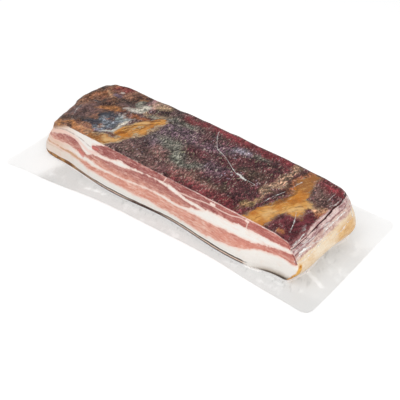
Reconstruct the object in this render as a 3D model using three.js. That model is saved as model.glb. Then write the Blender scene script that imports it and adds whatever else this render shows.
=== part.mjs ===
// A slab of flat cured pork belly in a clear vacuum bag, lying rind down.
// Millimetres, +Z up. The origin is the middle of the bag's box on the surface it lies on.
// +X runs along the slab and -Y is the side with the cut face.
import * as THREE from "three";

// The slab's overall sizes and its place on the bag
const slabLength = 332;
const slabWidth = 104;
const slabHeight = 44.5;
const slabShiftX = -8.5;
const slabShiftY = 10;

// The slab's edges: rounding of the plan's corners, of the top edge and of the foot
const planRound = { frontLeft: 12, frontRight: 6, backRight: 18, backLeft: 23 };
const topRound = { front: 2.2, right: 8, back: 6.5, left: 12 };
const footRound = { front: 1.2, right: 3, back: 4, left: 5 };

// The top is crowned, drops towards both ends and has shallow lumps
const crownHeight = 1.2;
const leftDrop = { run: 48, front: 23, back: 2 };
const rightDrop = { run: 34, front: 22, back: 9, power: 2.3 };
const lumpHeight = 0.7;
const lumpLength = 46;

// The cut face flares out to a wavy foot, which straightens near both ends
const footFlare = 5.7;
const footWave = { height: 2.4, length: 148, at: 9.5 };
const flareFade = { left: 30, right: 50, inset: 8 };

// The right end is a blunt nose, drawn in above and below its tip
const noseTop = { depth: 9.5, power: 1.5 };
const noseTip = { front: 0.52, back: 0.34 };
const noseFoot = { depth: 7.5, wave: 2, waveLength: 62, waveAt: 55 };

// How far from a side its own inset still moves the walls that meet it
const insetReach = { front: 25, right: 50, back: 30, left: 70 };

// The left end leans back over its front part and bows out, and the back bows in to both ends
const leftLean = { front: 16, back: 2, power: 1.4 };
const leftBow = { depth: 5, at: 58 };
const backBow = { left: 7.5, right: 6.4 };
const backHollow = 2.5;

// The bag's sheet: its corners, how far each side is pulled in, and its lifted edge
const bagCorners = {
  frontLeft: [-181, -87],
  frontRight: [187, -67],
  backRight: [176, 90],
  backLeft: [-190, 88],
};
const bagRound = 12;
const bagPull = { front: 13, right: 0, back: 6, left: -1 };
const sheetThickness = 0.6;
const sheetMargin = 2;
const edgeLift = { low: 0.9, high: 2.4 };
const edgeWaves = 9;

// How finely the surfaces are divided
const lengthSteps = 44;
const widthSteps = 14;
const topRoundSteps = 3;
const wallSteps = 5;
const footRoundSteps = 2;
const flangeSteps = 4;
const cornerBunching = 0.65;
const fanSteps = 7;

const slabLeft = slabShiftX - slabLength / 2;
const slabRight = slabShiftX + slabLength / 2;
const slabFront = slabShiftY - slabWidth / 2;
const slabBack = slabShiftY + slabWidth / 2;
const { lerp, clamp, smoothstep } = THREE.MathUtils;

// Share of the slab's width at a given y, 0 at the cut face and 1 at the back.
function depthShare(y) {
  return clamp((y - slabFront) / slabWidth, 0, 1);
}

// Cosine wave of a given length with its crest at a given place.
function wave(at, length, crest) {
  return Math.cos((2 * Math.PI * (at - crest)) / length);
}

// Share of a run at its k-th point, with the points bunched near both of its ends.
function bunchedShare(k, steps) {
  const turn = (2 * Math.PI * k) / steps;
  return (turn - cornerBunching * Math.sin(turn)) / (2 * Math.PI);
}

// Closed outline of a four-cornered shape with rounded corners, anticlockwise from the middle of
// the front left corner, as four runs between the corners' middles.
function roundedLoop(corners, rounds) {
  const count = corners.length;
  const bends = corners.map((corner, i) => {
    const towards = (other) => corner.clone().add(other.clone().sub(corner).setLength(rounds[i]));
    const start = towards(corners[(i + count - 1) % count]);
    const end = towards(corners[(i + 1) % count]);
    const middle = new THREE.QuadraticBezierCurve(start, corner, end).getPoint(0.5);
    return { corner, start, end, middle };
  });
  const loop = [];
  bends.forEach((from, i) => {
    const to = bends[(i + 1) % count];
    const run = new THREE.CurvePath();
    const leave = from.corner.clone().lerp(from.end, 0.5);
    const arrive = to.corner.clone().lerp(to.start, 0.5);
    run.add(new THREE.QuadraticBezierCurve(from.middle, leave, from.end));
    run.add(new THREE.LineCurve(from.end, to.start));
    run.add(new THREE.QuadraticBezierCurve(to.start, arrive, to.middle));
    const steps = i % 2 ? widthSteps : lengthSteps;
    for (let k = 0; k < steps; k++) loop.push(run.getPointAt(bunchedShare(k, steps)));
  });
  return loop;
}

// Outward unit normals of an anticlockwise loop.
function outwardNormals(loop) {
  return loop.map((point, i) => {
    const before = loop[(i + loop.length - 1) % loop.length];
    const after = loop[(i + 1) % loop.length];
    return new THREE.Vector2(after.y - before.y, before.x - after.x).normalize();
  });
}

// Value for a wall that faces along a normal, blended from the four sides' values.
function bySide(normal, side) {
  const alongX = normal.x ** 2 * (normal.x > 0 ? side.right : side.left);
  const alongY = normal.y ** 2 * (normal.y > 0 ? side.back : side.front);
  return alongX + alongY;
}

// Height of the slab's top above its underside.
function topHeight(x, y) {
  const depth = depthShare(y);
  const crown = crownHeight * 4 * depth * (1 - depth);
  const leftShare = Math.max(0, (slabLeft + leftDrop.run - x) / leftDrop.run);
  const rightShare = Math.max(0, (x - slabRight + rightDrop.run) / rightDrop.run);
  const drop =
    lerp(leftDrop.front, leftDrop.back, depth) * leftShare ** 2 +
    lerp(rightDrop.front, rightDrop.back, depth) * rightShare ** rightDrop.power;
  const lump = wave(x + 0.6 * y, lumpLength, 0) * wave(y - 0.3 * x, 0.8 * lumpLength, 9);
  return slabHeight + crown - drop + lumpHeight * lump * 4 * depth * (1 - depth);
}

// How far each side of the wall stands in from the plan at a share of its height, 0 at the foot.
function wallInsets(point, share) {
  const depth = depthShare(point.y);
  const flare = footFlare - footWave.height * wave(point.x, footWave.length, footWave.at);
  const fadeEnd = slabRight - flareFade.inset;
  const fadeIn = smoothstep(point.x, slabLeft, slabLeft + flareFade.left);
  const fadeOut = 1 - smoothstep(point.x, fadeEnd - flareFade.right, fadeEnd);
  const fromFront = point.y - slabFront;
  const foot = noseFoot.depth + noseFoot.wave * wave(fromFront, noseFoot.waveLength, noseFoot.waveAt);
  const tip = lerp(noseTip.front, noseTip.back, depth);
  const below = Math.max(0, (tip - share) / tip);
  const above = Math.max(0, (share - tip) / (1 - tip));
  const leanBack = smoothstep(depth, 0, 2 / 3);
  return {
    front: -flare * fadeIn * fadeOut * (1 - share),
    right: foot * below ** 2 + noseTop.depth * above ** noseTop.power,
    back: backHollow * (2 * share - 1) ** 2,
    left: lerp(leftLean.front, leftLean.back, leanBack) * share ** leftLean.power,
  };
}

// Moves a point of the plan in from all four sides, each inset fading out over its reach.
function moveIn({ x, y }, inset) {
  const near = (distance, reach) => 1 - smoothstep(distance, 0, reach);
  const fromLeft = inset.left * near(x - slabLeft, insetReach.left);
  const fromRight = inset.right * near(slabRight - x, insetReach.right);
  const fromFront = inset.front * near(y - slabFront, insetReach.front);
  const fromBack = inset.back * near(slabBack - y, insetReach.back);
  return new THREE.Vector2(x + fromLeft - fromRight, y + fromFront - fromBack);
}

// Insets of one ring with those of a rounded edge added, as a share of each side's rounding.
function addRounding(insets, rounding, share) {
  const sum = {};
  for (const side of Object.keys(insets)) sum[side] = insets[side] + rounding[side] * share;
  return sum;
}

// The slab's plan: a rounded rectangle, bowed out at the left end and in at both ends of the back.
function slabPlan() {
  const corners = [
    [slabLeft, slabFront],
    [slabRight, slabFront],
    [slabRight, slabBack],
    [slabLeft, slabBack],
  ].map(([x, y]) => new THREE.Vector2(x, y));
  const { frontLeft, frontRight, backRight, backLeft } = planRound;
  const loop = roundedLoop(corners, [frontLeft, frontRight, backRight, backLeft]);
  return loop.map(({ x, y }) => {
    const endShare = 1 - smoothstep(x, slabLeft, slabLeft + 0.38 * slabLength);
    const bow = leftBow.depth * ((y - slabFront - leftBow.at) / leftBow.at) ** 2;
    const fromMiddle = (x - slabShiftX) / (slabLength / 2);
    const inward = (fromMiddle > 0 ? backBow.right : backBow.left) * fromMiddle ** 2;
    return new THREE.Vector2(x + endShare * bow, y - depthShare(y) * inward);
  });
}

// Rings of points from the top's rim down the rounded edge, the wall and the rounded foot.
function slabRings() {
  const plan = slabPlan();
  const normals = outwardNormals(plan);
  const columns = plan.map((point, i) => {
    const at = (insets, z) => {
      const flat = moveIn(point, insets);
      return new THREE.Vector3(flat.x, flat.y, z + sheetThickness);
    };
    const top = bySide(normals[i], topRound);
    const foot = bySide(normals[i], footRound);
    const upper = wallInsets(point, 1);
    const lower = wallInsets(point, 0);
    const rim = moveIn(point, addRounding(upper, topRound, 1));
    const height = topHeight(rim.x, rim.y);
    const column = [];
    for (let k = 0; k <= topRoundSteps; k++) {
      const turn = ((Math.PI / 2) * k) / topRoundSteps;
      const insets = addRounding(upper, topRound, 1 - Math.sin(turn));
      column.push(at(insets, height - top + top * Math.cos(turn)));
    }
    for (let k = 1; k <= wallSteps; k++) {
      const share = 1 - k / wallSteps;
      column.push(at(wallInsets(point, share), lerp(foot, height - top, share)));
    }
    for (let k = 1; k <= footRoundSteps; k++) {
      const turn = ((Math.PI / 2) * k) / footRoundSteps;
      const insets = addRounding(lower, footRound, 1 - Math.cos(turn));
      column.push(at(insets, foot - foot * Math.sin(turn)));
    }
    return column;
  });
  return columns[0].map((_, k) => columns.map((column) => column[k]));
}

// Collects points and triangles of one closed body.
class Body {
  constructor() {
    this.points = [];
    this.index = [];
  }

  addRing(points) {
    return points.map((point) => this.points.push(point) - 1);
  }

  addQuad(a, b, c, d) {
    this.index.push(a, b, c, a, c, d);
  }

  // Wall between an upper and a lower ring of an anticlockwise loop, facing out.
  addWall(upper, lower) {
    upper.forEach((_, i) => {
      const next = (i + 1) % upper.length;
      this.addQuad(lower[i], lower[next], upper[next], upper[i]);
    });
  }

  // Flat cap over a ring, facing up or down: rungs from front to back, and a fan in each end.
  addCap(ring, faceUp) {
    const backLeft = 2 * lengthSteps + widthSteps;
    const opposite = (i) => ring[backLeft - i];
    for (let i = fanSteps; i < lengthSteps - fanSteps; i++) {
      const rung = [ring[i], ring[i + 1], opposite(i + 1), opposite(i)];
      this.addQuad(...(faceUp ? rung : rung.reverse()));
    }
    const rightEnd = ring.slice(lengthSteps - fanSteps, lengthSteps + widthSteps + fanSteps + 1);
    const leftEnd = [...ring.slice(backLeft - fanSteps), ...ring.slice(0, fanSteps + 1)];
    for (const end of [rightEnd, leftEnd]) {
      const sum = end.reduce((total, i) => total.add(this.points[i]), new THREE.Vector3());
      const hub = this.points.push(sum.divideScalar(end.length)) - 1;
      end.forEach((a, k) => {
        const b = end[(k + 1) % end.length];
        this.index.push(...(faceUp ? [hub, a, b] : [hub, b, a]));
      });
    }
  }

  // Grid of quads that fills a ring, spanned between its four sides, with its own height.
  addPatch(ring, heightAt) {
    const place = (i) => this.points[ring[i % ring.length]];
    const backCorner = lengthSteps + widthSteps;
    const nodeAt = (i, j) => {
      if (j === 0) return ring[i];
      if (i === lengthSteps) return ring[lengthSteps + j];
      if (j === widthSteps) return ring[backCorner + lengthSteps - i];
      if (i === 0) return ring[backCorner + lengthSteps + widthSteps - j];
      const u = i / lengthSteps;
      const v = j / widthSteps;
      const span = (axis) => {
        const front = place(i)[axis];
        const back = place(backCorner + lengthSteps - i)[axis];
        const right = place(lengthSteps + j)[axis];
        const left = place(backCorner + lengthSteps + widthSteps - j)[axis];
        const nearSide = lerp(place(0)[axis], place(lengthSteps)[axis], u);
        const farSide = lerp(place(backCorner + lengthSteps)[axis], place(backCorner)[axis], u);
        return lerp(front, back, v) + lerp(left, right, u) - lerp(nearSide, farSide, v);
      };
      const x = span("x");
      const y = span("y");
      return this.points.push(new THREE.Vector3(x, y, heightAt(x, y))) - 1;
    };
    const grid = [];
    for (let i = 0; i <= lengthSteps; i++) {
      grid.push(Array.from({ length: widthSteps + 1 }, (_, j) => nodeAt(i, j)));
    }
    for (let i = 0; i < lengthSteps; i++) {
      for (let j = 0; j < widthSteps; j++) {
        this.addQuad(grid[i][j], grid[i + 1][j], grid[i + 1][j + 1], grid[i][j + 1]);
      }
    }
  }

  toMesh(name, material) {
    const geometry = new THREE.BufferGeometry().setFromPoints(this.points);
    geometry.setIndex(this.index);
    geometry.computeVertexNormals();
    const mesh = new THREE.Mesh(geometry, material);
    mesh.name = name;
    return mesh;
  }
}

// The cured belly: lean and fat in one piece, with its rind underneath.
function makeSlab() {
  const slab = new Body();
  const rings = slabRings().map((ring) => slab.addRing(ring));
  for (let k = 0; k + 1 < rings.length; k++) slab.addWall(rings[k], rings[k + 1]);
  slab.addPatch(rings[0], (x, y) => topHeight(x, y) + sheetThickness);
  slab.addCap(rings[rings.length - 1], false);
  const material = new THREE.MeshStandardMaterial({ color: 0x8c5049, roughness: 0.5, metalness: 0 });
  return slab.toMesh("pancetta_slab", material);
}

// The bag's outer edge: a four-cornered sheet whose sides are pulled in between the corners.
function bagEdge() {
  const { frontLeft, frontRight, backRight, backLeft } = bagCorners;
  const corners = [frontLeft, frontRight, backRight, backLeft].map(([x, y]) => new THREE.Vector2(x, y));
  const loop = roundedLoop(corners, Array(corners.length).fill(bagRound));
  const sides = [bagPull.front, bagPull.right, bagPull.back, bagPull.left];
  let first = 0;
  sides.forEach((pull, i) => {
    const steps = i % 2 ? widthSteps : lengthSteps;
    const along = corners[(i + 1) % corners.length].clone().sub(corners[i]).normalize();
    const inward = new THREE.Vector2(-along.y, along.x);
    for (let k = 0; k < steps; k++) {
      loop[first + k].addScaledVector(inward, pull * Math.sin(Math.PI * bunchedShare(k, steps)));
    }
    first += steps;
  });
  return loop;
}

// The bag: one sheet under the slab and out to the sealed edge, which lifts in shallow waves.
function makeBag() {
  const bag = new Body();
  const edge = bagEdge();
  const clear = { front: -footFlare - footWave.height, right: 0, back: 0, left: 0 };
  const margins = { front: -sheetMargin, right: -sheetMargin, back: -sheetMargin, left: -sheetMargin };
  const inner = slabPlan().map((point) => moveIn(point, addRounding(clear, margins, 1)));
  const ringAt = (share, thickness) =>
    inner.map((point, i) => {
      const flat = point.clone().lerp(edge[i], share);
      const waves = 0.5 + 0.5 * Math.sin((2 * Math.PI * edgeWaves * i) / inner.length);
      const lift = lerp(edgeLift.low, edgeLift.high, waves) * share ** 2;
      return new THREE.Vector3(flat.x, flat.y, lift + thickness);
    });
  const shares = Array.from({ length: flangeSteps + 1 }, (_, k) => k / flangeSteps);
  const upper = shares.map((share) => bag.addRing(ringAt(share, sheetThickness)));
  const lower = shares.map((share) => bag.addRing(ringAt(share, 0)));
  bag.addCap(upper[0], true);
  bag.addCap(lower[0], false);
  for (let k = 0; k < flangeSteps; k++) {
    bag.addWall(upper[k], upper[k + 1]);
    bag.addWall(lower[k + 1], lower[k]);
  }
  bag.addWall(upper[flangeSteps], lower[flangeSteps]);
  const material = new THREE.MeshStandardMaterial({ color: 0xe6e8e8, roughness: 0.15, metalness: 0 });
  return bag.toMesh("vacuum_bag", material);
}

const pancetta = new THREE.Group();
pancetta.name = "vacuum_packed_pancetta";
pancetta.add(makeSlab(), makeBag());

// The middle of the whole box goes to the origin.
const middle = new THREE.Box3().setFromObject(pancetta).getCenter(new THREE.Vector3());
for (const mesh of pancetta.children) mesh.position.set(-middle.x, -middle.y, 0);

export default pancetta;
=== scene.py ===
from types import SimpleNamespace

import bpy
import numpy as np
from mathutils import Matrix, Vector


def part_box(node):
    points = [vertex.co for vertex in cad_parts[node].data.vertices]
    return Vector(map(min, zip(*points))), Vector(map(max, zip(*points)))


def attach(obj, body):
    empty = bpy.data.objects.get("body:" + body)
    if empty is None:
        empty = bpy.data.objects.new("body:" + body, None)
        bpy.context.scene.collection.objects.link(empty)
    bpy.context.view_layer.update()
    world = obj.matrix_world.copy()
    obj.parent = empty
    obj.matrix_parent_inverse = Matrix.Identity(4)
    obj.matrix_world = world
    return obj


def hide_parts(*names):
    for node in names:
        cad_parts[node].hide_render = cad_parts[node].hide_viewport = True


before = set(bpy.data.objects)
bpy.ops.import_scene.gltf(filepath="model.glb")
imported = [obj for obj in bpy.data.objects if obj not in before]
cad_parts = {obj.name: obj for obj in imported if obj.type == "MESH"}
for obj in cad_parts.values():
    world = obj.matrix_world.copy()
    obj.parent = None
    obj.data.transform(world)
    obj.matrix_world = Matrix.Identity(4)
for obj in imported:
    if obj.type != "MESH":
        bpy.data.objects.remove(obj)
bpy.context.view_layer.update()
mm = 0.001

# Millimetres: x runs along the slab, y from the cut face to the back, z up from the sheet under it
slab = {
    "left": -167.5, "right": 164.5, "back": 104, "height": 44.5,
    "planRound": (12, 6, 18, 23),  # front left, front right, back right, back left
    "topRound": {"front": 2.2, "right": 8, "back": 6.5, "left": 12},
    "footRound": {"front": 1.2, "right": 3, "back": 4, "left": 5},
    "insetReach": {"front": 25, "right": 50, "back": 30, "left": 70},
    "crown": 1.2,
    "leftDrop": {"run": 48, "front": 23, "back": 2},
    "rightDrop": {"run": 34, "front": 22, "back": 9, "power": 2.3},
    "lump": {"height": 0.7, "lengths": (46, 36.8), "skews": (0.6, -0.3), "crests": (32.2, 48.9)},
    "flare": {
        "depth": 5.7, "wave": 2.4, "length": 148, "crest": 16.5,
        "fadeLeft": 30, "fadeRight": 50, "inset": 8,
    },
    "nose": {
        "top": 9.5, "power": 1.5, "tipFront": 0.52, "tipBack": 0.34,
        "foot": 7.5, "wave": 2, "length": 62, "crest": 55,
    },
    "leftLean": {"front": 16, "back": 2, "power": 1.4, "until": 2 / 3},
    "leftBow": {"depth": 5, "at": 58, "reach": 0.38},
    "backBow": {"left": 7.5, "right": 6.4}, "backHollow": 2.5,
    "steps": (264, 84), "rounding": 12, "wall": 46, "foot": 4,
    "relief": {
        "top": 0.32, "wall": 0.16, "leftEnd": 3.0, "leftFrom": (-110, -140), "flatFoot": 6,
        "lengths": (7, 30), "seed": 51,
    },
}
slabLow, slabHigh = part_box("pancetta_slab")
slabOrigin = np.array([slabHigh.x / mm - slab["right"], slabHigh.y / mm - slab["back"], slabLow.z / mm])
slabLength = slab["right"] - slab["left"]
slabMiddle = (slab["right"] + slab["left"]) / 2
bunching = 0.25  # how much the points of a loop crowd towards its corners
cutFacing = (0.45, 0.85)  # a wall counts as cut as its normal turns to the front over this range
farAway = 1e3  # millimetres, beyond any stroke
frontRight = (0.53, -0.61, 0.59)  # the way from which thin lines are seen


def ease(x, low, high):
    t = np.clip((x - low) / (high - low), 0, 1)
    return t * t * (3 - 2 * t)


def mixed(a, b, share):
    return a + (b - a) * share


def cosWave(at, length, crest):
    return np.cos(2 * np.pi * (at - crest) / length)


# Height at places along a line that is given by its points
def lineHeight(line, at):
    return np.interp(at, *np.array(line, float).T)


# Quadratic bend from a to c, drawn towards b
def bend(a, b, c, t):
    t = t[:, None]
    return (1 - t) ** 2 * a + 2 * t * (1 - t) * b + t * t * c


# Closed outline, anticlockwise from the middle of the front left corner: each of its four runs is
# half a bend, a straight and half a bend, with points spread over the run's length
def roundedLoop(corners, rounds, steps):
    corners = np.array(corners, float)
    rounds = np.array(rounds, float)[:, None]
    toBefore = np.roll(corners, 1, axis=0) - corners
    toAfter = np.roll(corners, -1, axis=0) - corners
    starts = corners + rounds * toBefore / np.linalg.norm(toBefore, axis=1, keepdims=True)
    ends = corners + rounds * toAfter / np.linalg.norm(toAfter, axis=1, keepdims=True)
    middles = 0.25 * starts + 0.5 * corners + 0.25 * ends
    t = np.linspace(0, 1, 60)
    runs = []
    for i in range(4):
        j = (i + 1) % 4
        leaving = bend(middles[i], (corners[i] + ends[i]) / 2, ends[i], t)
        arriving = bend(starts[j], (corners[j] + starts[j]) / 2, middles[j], t)
        fine = np.concatenate([leaving, arriving])
        gone = np.concatenate([[0], np.cumsum(np.linalg.norm(np.diff(fine, axis=0), axis=1))])
        at = gone[-1] * runShare(steps[i % 2])
        runs.append(np.stack([np.interp(at, gone, fine[:, 0]), np.interp(at, gone, fine[:, 1])], axis=1))
    return np.concatenate(runs)


# Shares of a run's length: even steps, less a sine that draws them to both ends
def runShare(count):
    share = np.arange(count) / count
    return share - bunching * np.sin(2 * np.pi * share) / (2 * np.pi)


def outwardNormals(loop):
    along = np.roll(loop, -1, axis=0) - np.roll(loop, 1, axis=0)
    normals = np.stack([along[:, 1], -along[:, 0]], axis=1)
    return normals / np.linalg.norm(normals, axis=1, keepdims=True)


def cutShare(normals):
    return ease(-normals[:, 1], *cutFacing)


# A side's value, blended over the corners by the squares of the normal's parts
def bySide(normals, side):
    nx, ny = normals.T
    atEnds = np.where(nx > 0, side["right"], side["left"])
    atSides = np.where(ny > 0, side["back"], side["front"])
    return nx**2 * atEnds + ny**2 * atSides


# Height of the top: level, crowned across, dropping towards both ends, with shallow lumps
def topHeight(x, y):
    depth = np.clip(y / slab["back"], 0, 1)
    leftDrop, rightDrop, lump = slab["leftDrop"], slab["rightDrop"], slab["lump"]
    leftShare = np.maximum(0, (slab["left"] + leftDrop["run"] - x) / leftDrop["run"])
    rightShare = np.maximum(0, (x - slab["right"] + rightDrop["run"]) / rightDrop["run"])
    drop = mixed(leftDrop["front"], leftDrop["back"], depth) * leftShare**2
    drop = drop + mixed(rightDrop["front"], rightDrop["back"], depth) * rightShare ** rightDrop["power"]
    waves = cosWave(x + lump["skews"][0] * y, lump["lengths"][0], lump["crests"][0])
    waves = waves * cosWave(y + lump["skews"][1] * x, lump["lengths"][1], lump["crests"][1])
    return slab["height"] - drop + (slab["crown"] + lump["height"] * waves) * 4 * depth * (1 - depth)


# How far each side stands in from the plan at a share of the wall's height, 0 at the foot: the front
# flares out below, the right end is a nose, the back is hollow and the left end leans in
def wallInsets(x, y, share):
    flare, nose, lean = slab["flare"], slab["nose"], slab["leftLean"]
    depth = np.clip(y / slab["back"], 0, 1)
    fadeEnd = slab["right"] - flare["inset"]
    out = flare["depth"] - flare["wave"] * cosWave(x, flare["length"], flare["crest"])
    out = out * ease(x, slab["left"], slab["left"] + flare["fadeLeft"])
    out = out * (1 - ease(x, fadeEnd - flare["fadeRight"], fadeEnd))
    tip = mixed(nose["tipFront"], nose["tipBack"], depth)
    below = np.maximum(0, (tip - share) / tip)
    above = np.maximum(0, (share - tip) / (1 - tip))
    foot = nose["foot"] + nose["wave"] * cosWave(y, nose["length"], nose["crest"])
    leaning = mixed(lean["front"], lean["back"], ease(depth, 0, lean["until"]))
    return {
        "front": -out * (1 - share),
        "right": foot * below**2 + nose["top"] * above ** nose["power"],
        "back": slab["backHollow"] * (2 * share - 1) ** 2,
        "left": leaning * share ** lean["power"],
    }


# Plan point moved in from the four sides, each inset fading out over its reach
def moveIn(x, y, inset):
    reach = slab["insetReach"]
    fromLeft = inset["left"] * (1 - ease(x - slab["left"], 0, reach["left"]))
    fromRight = inset["right"] * (1 - ease(slab["right"] - x, 0, reach["right"]))
    fromFront = inset["front"] * (1 - ease(y, 0, reach["front"]))
    fromBack = inset["back"] * (1 - ease(slab["back"] - y, 0, reach["back"]))
    return x + fromLeft - fromRight, y + fromFront - fromBack


def rounded(inset, rounding, share):
    return {side: inset[side] + rounding[side] * share for side in inset}


# Plan: a rounded rectangle, bowed out at the left end and in at both ends of the back
def slabPlan(steps):
    left, right, back = slab["left"], slab["right"], slab["back"]
    corners = [(left, 0), (right, 0), (right, back), (left, back)]
    x, y = roundedLoop(corners, slab["planRound"], steps).T
    leftBow, backBow = slab["leftBow"], slab["backBow"]
    bow = leftBow["depth"] * (y / leftBow["at"] - 1) ** 2
    bow = bow * (1 - ease(x, left, left + leftBow["reach"] * slabLength))
    fromMiddle = (x - slabMiddle) / (slabLength / 2)
    inward = np.where(fromMiddle > 0, backBow["right"], backBow["left"]) * fromMiddle**2
    return np.stack([x + bow, y - np.clip(y / back, 0, 1) * inward], axis=1)


# Rings down the slab: a quarter turn round the top edge, the wall, and a quarter turn under the foot.
# Each ring is a row of points, with the way its surface faces and how far it belongs to the top
def slabRings(steps, rounding, wall, foot):
    plan = slabPlan(steps)
    normals = outwardNormals(plan)
    x, y = plan.T
    topRadius, footRadius = bySide(normals, slab["topRound"]), bySide(normals, slab["footRound"])
    upper, lower = wallInsets(x, y, 1.0), wallInsets(x, y, 0.0)
    height = topHeight(*moveIn(x, y, rounded(upper, slab["topRound"], 1)))
    points, facing, topShare = [], [], []

    def addRing(inset, z, out, lift, top):
        points.append(np.column_stack([*moveIn(x, y, inset), z]))
        facing.append(np.column_stack([normals * out, np.full(len(plan), lift)]))
        topShare.append(np.full(len(plan), top))

    for turn in np.linspace(0, np.pi / 2, rounding + 1):
        inset = rounded(upper, slab["topRound"], 1 - np.sin(turn))
        z = height - topRadius * (1 - np.cos(turn))
        addRing(inset, z, np.sin(turn), np.cos(turn), 1 - turn / (np.pi / 2))
    for share in np.linspace(1, 0, wall + 1)[1:]:
        addRing(wallInsets(x, y, share), mixed(footRadius, height - topRadius, share), 1, 0, 0)
    for turn in np.linspace(0, np.pi / 2, foot + 1)[1:]:
        inset = rounded(lower, slab["footRound"], 1 - np.cos(turn))
        addRing(inset, footRadius * (1 - np.sin(turn)), np.cos(turn), -np.sin(turn), 0)
    return np.array(points), np.array(facing), np.array(topShare), normals


# Points of the patch inside a ring: the blend of the long sides plus that of the short ones, less that
# of the corners
def spanned(ring, steps):
    nLong, nWide = steps
    loop = np.concatenate([ring, ring[:1]])
    front, right = loop[: nLong + 1], loop[nLong : nLong + nWide + 1]
    back, left = loop[nLong + nWide : 2 * nLong + nWide + 1][::-1], loop[2 * nLong + nWide :][::-1]
    u = np.linspace(0, 1, nLong + 1)[:, None, None]
    v = np.linspace(0, 1, nWide + 1)[None, :, None]
    corners = (1 - u) * (1 - v) * front[0] + u * (1 - v) * front[-1]
    corners = corners + u * v * back[-1] + (1 - u) * v * back[0]
    patch = mixed(front[:, None], back[:, None], v) + mixed(left[None], right[None], u) - corners
    return patch[1:-1, 1:-1].reshape(-1, 3)


# Numbers of a patch's points: its rim is a ring already made, and its inside is counted on from there
def patchNumbers(firstOfRing, firstInside, steps):
    nLong, nWide = steps
    around = 2 * (nLong + nWide)
    loop = firstOfRing + np.arange(around + 1) % around
    numbers = np.empty((nLong + 1, nWide + 1), int)
    numbers[:, 0] = loop[: nLong + 1]
    numbers[-1] = loop[nLong : nLong + nWide + 1]
    numbers[:, -1] = loop[nLong + nWide : 2 * nLong + nWide + 1][::-1]
    numbers[0] = loop[2 * nLong + nWide :][::-1]
    numbers[1:-1, 1:-1] = firstInside + np.arange((nLong - 1) * (nWide - 1)).reshape(nLong - 1, nWide - 1)
    return numbers


def patchFaces(numbers, faceUp):
    corners = [numbers[:-1, :-1], numbers[1:, :-1], numbers[1:, 1:], numbers[:-1, 1:]]
    quads = np.stack(corners, axis=-1).reshape(-1, 4)
    return quads if faceUp else quads[:, ::-1]


def wallFaces(ringCount, around):
    i = np.arange(around)
    j = (i + 1) % around
    upper = (np.arange(ringCount - 1) * around)[:, None]
    lower = upper + around
    return np.stack([lower + i, lower + j, upper + j, upper + i], axis=-1).reshape(-1, 4)


# Closed surface: rings joined each to the next, a patch over the first and a patch under the last
def closedSurface(rings, topInside, bottomInside, steps):
    ringCount, around = rings.shape[:2]
    ringPoints = ringCount * around
    topNumbers = patchNumbers(0, ringPoints, steps)
    bottomNumbers = patchNumbers(ringPoints - around, ringPoints + len(topInside), steps)
    quads = [wallFaces(ringCount, around), patchFaces(topNumbers, True), patchFaces(bottomNumbers, False)]
    return np.concatenate([rings.reshape(-1, 3), topInside, bottomInside]), np.concatenate(quads)


# Seeded lumps of about unit height: a sum of plane waves of random way, length and phase
def lumps(points, lengths, seed, count=36):
    draw = np.random.default_rng(seed)
    ways = draw.normal(size=(3, count))
    lengths = draw.uniform(*lengths, count)
    ways = 2 * np.pi * ways / np.linalg.norm(ways, axis=0) / lengths
    phases = draw.uniform(0, 2 * np.pi, count)
    return np.cos(points @ ways + phases) @ (lengths / lengths.sum()) * np.sqrt(count)


# Height of the cured surface's lumps: flat at the foot, higher on the top and at the left end
def relief(points, topShare):
    made = slab["relief"]
    height = mixed(made["wall"], made["top"], topShare) * ease(points[..., 2], 0, made["flatFoot"])
    height = height * (1 + made["leftEnd"] * ease(points[..., 0], *made["leftFrom"]))
    return lumps(points, made["lengths"], made["seed"]) * height


# How points lie off the nearest place on the straight from a to b
def offStraight(points, a, b):
    along = np.clip((points - a) @ (b - a) / ((b - a) @ (b - a)), 0, 1)
    return points - a - along[:, None] * (b - a)


# Distance in millimetres to the nearest of some strokes, less its half width: below zero inside
def strokeField(points, strokes):
    nearest = np.full(len(points), farAway)
    for half, path in strokes:
        path = np.array(path, float)
        for a, b in zip(path[:-1], path[1:]):
            nearest = np.minimum(nearest, np.linalg.norm(offStraight(points, a, b), axis=1) - half)
    return nearest


# Path with its corners cut twice at a quarter of each side
def smoothed(path):
    for _ in range(2):
        cuts = np.stack([0.75 * path[:-1] + 0.25 * path[1:], 0.25 * path[:-1] + 0.75 * path[1:]], axis=1)
        path = np.concatenate([path[:1], cuts.reshape(-1, path.shape[1]), path[-1:]])
    return path


# For lines thinner than the mesh: the distance of strokeField, and the plain distance to the same line
# with a sign for the side of it that a point lies on, seen from the front right
def lineField(points, lines):
    near, side = np.full(len(points), farAway), np.full(len(points), farAway)
    for half, path in lines:
        path = smoothed(np.array(path, float))
        for a, b in zip(path[:-1], path[1:]):
            off = offStraight(points, a, b)
            distance = np.linalg.norm(off, axis=1)
            closer = distance - half < near
            near = np.where(closer, distance - half, near)
            side = np.where(closer, distance * np.sign(off @ np.cross(b - a, frontRight)), side)
    return near, side


def makePiece(name, points, quads, finish, fields):
    mesh = bpy.data.meshes.new(name)
    mesh.vertices.add(len(points))
    mesh.vertices.foreach_set("co", ((points + slabOrigin) * mm).astype(np.float32).ravel())
    mesh.loops.add(quads.size)
    mesh.loops.foreach_set("vertex_index", quads.astype(np.int32).ravel())
    mesh.polygons.add(len(quads))
    mesh.polygons.foreach_set("loop_start", np.arange(0, quads.size, 4, dtype=np.int32))
    mesh.polygons.foreach_set("use_smooth", np.ones(len(quads), dtype=bool))
    mesh.update(calc_edges=True)
    for field, values in fields.items():
        mesh.attributes.new(field, "FLOAT", "POINT").data.foreach_set("value", values.astype(np.float32))
    mesh.materials.append(finish)
    piece = bpy.data.objects.new(name, mesh)
    bpy.context.scene.collection.objects.link(piece)
    return piece


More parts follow.
